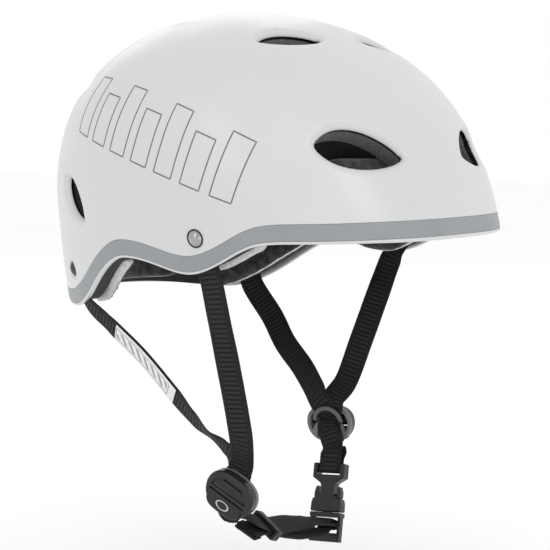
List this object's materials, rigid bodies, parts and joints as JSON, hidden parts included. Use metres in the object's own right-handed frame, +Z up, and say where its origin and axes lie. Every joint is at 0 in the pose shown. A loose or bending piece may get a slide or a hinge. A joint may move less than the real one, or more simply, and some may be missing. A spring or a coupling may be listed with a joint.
{
  "type": "water helmet",
  "caption": "Vented hard-shell water-sports helmet with foam liner, comfort pads, riveted webbing harness, cam strap dividers and a side-release chin buckle.",
  "frame": {"origin": "On the sagittal plane at the height of the bottom edge of the front brim, in the middle of the head opening, where the helmet sits on the head.", "axes": "+X is the wearer's left, -Y is the front of the helmet, +Z is up to the crown."},
  "size_m": [0.2222, 0.2771, 0.323],
  "materials": {
    "shell_white": "satin white ABS",
    "band_grey": "satin grey",
    "liner_foam": "dark closed-cell foam",
    "pad_foam": "pale cut foam",
    "pad_fabric": "dark mottled brushed fabric",
    "rivet_chrome": "polished",
    "rivet_dark": "dark satin",
    "washer_black": "matte",
    "webbing": "ribbed woven polyester",
    "reflective_label": "silver reflective",
    "hardware_black": "moulded gloss black",
    "pin_steel": "bright",
    "keeper_rubber": "smooth black rubber"
  },
  "bodies": {
    "root": {"outer_shell": "shell_white", "edge_band": "band_grey", "foam_liner": "liner_foam", "front_pad_foam": "pad_foam", "front_pad_fabric": "pad_fabric", "rear_centre_pad_foam": "pad_foam", "rear_centre_pad_fabric": "pad_fabric", "crown_pad_foam": "pad_foam", "crown_pad_fabric": "pad_fabric", "right_side_pad_foam": "pad_foam", "right_side_pad_fabric": "pad_fabric", "right_rear_pad_foam": "pad_foam", "right_rear_pad_fabric": "pad_fabric", "left_side_pad_foam": "pad_foam", "left_side_pad_fabric": "pad_fabric", "left_rear_pad_foam": "pad_foam", "left_rear_pad_fabric": "pad_fabric", "right_ear_rivet": "rivet_chrome", "right_ear_washer": "washer_black", "right_rear_rivet": "rivet_dark", "right_rear_washer": "washer_black", "left_ear_rivet": "rivet_chrome", "left_ear_washer": "washer_black", "left_rear_rivet": "rivet_dark", "left_rear_washer": "washer_black", "right_front_strap": "webbing", "right_rear_strap": "webbing", "left_front_strap": "webbing", "left_rear_strap": "webbing", "buckle_strap": "webbing", "chin_strap": "webbing", "chin_strap_end": "webbing", "reflective_label": "reflective_label", "right_divider": "hardware_black", "right_lever_pin": "pin_steel", "left_divider": "hardware_black", "left_lever_pin": "pin_steel", "buckle_female": "hardware_black"},
    "right_lever": {"right_divider_lever": "hardware_black"},
    "left_lever": {"left_divider_lever": "hardware_black"},
    "buckle_half": {"buckle_male": "hardware_black"},
    "front_prong": {"front_latch_prong": "hardware_black"},
    "rear_prong": {"rear_latch_prong": "hardware_black"},
    "keeper": {"keeper_ring": "keeper_rubber"}
  },
  "joints": [
    {"name": "right_lever_hinge", "type": "hinge", "parent": "root", "child": "right_lever", "pos_m": [-0.0798, -0.03801, -0.14712], "axis": [-0.17, 0.8746, 0.454], "range_deg": [0, 95]},
    {"name": "left_lever_hinge", "type": "hinge", "parent": "root", "child": "left_lever", "pos_m": [0.06003, -0.00711, -0.1345], "axis": [0.1905, -0.9803, 0.0523], "range_deg": [0, 95]},
    {"name": "buckle_release", "type": "slide", "parent": "root", "child": "buckle_half", "axis": [-0.3099, -0.1449, -0.9397], "range_m": [0, 0.025], "deforming": ["chin_strap", "front_latch_prong", "rear_latch_prong"]},
    {"name": "front_prong_squeeze", "type": "hinge", "parent": "buckle_half", "child": "front_prong", "pos_m": [0.03796, -0.02828, -0.18073], "axis": [-0.9406, -0.0971, 0.3252], "range_deg": [0, 6], "stiffness_Nm_per_rad": 0.001},
    {"name": "rear_prong_squeeze", "type": "hinge", "parent": "buckle_half", "child": "rear_prong", "pos_m": [0.03587, -0.01341, -0.18233], "axis": [-0.9406, -0.0971, 0.3252], "range_deg": [-6, 0]},
    {"name": "keeper_slide", "type": "slide", "parent": "root", "child": "keeper", "axis": [0.9192, 0.184, -0.3481], "range_m": [-0.005, 0.005]}
  ],
  "couplings": [
    {"joint": "rear_prong_squeeze", "follows": "front_prong_squeeze", "ratio": -1}
  ]
}
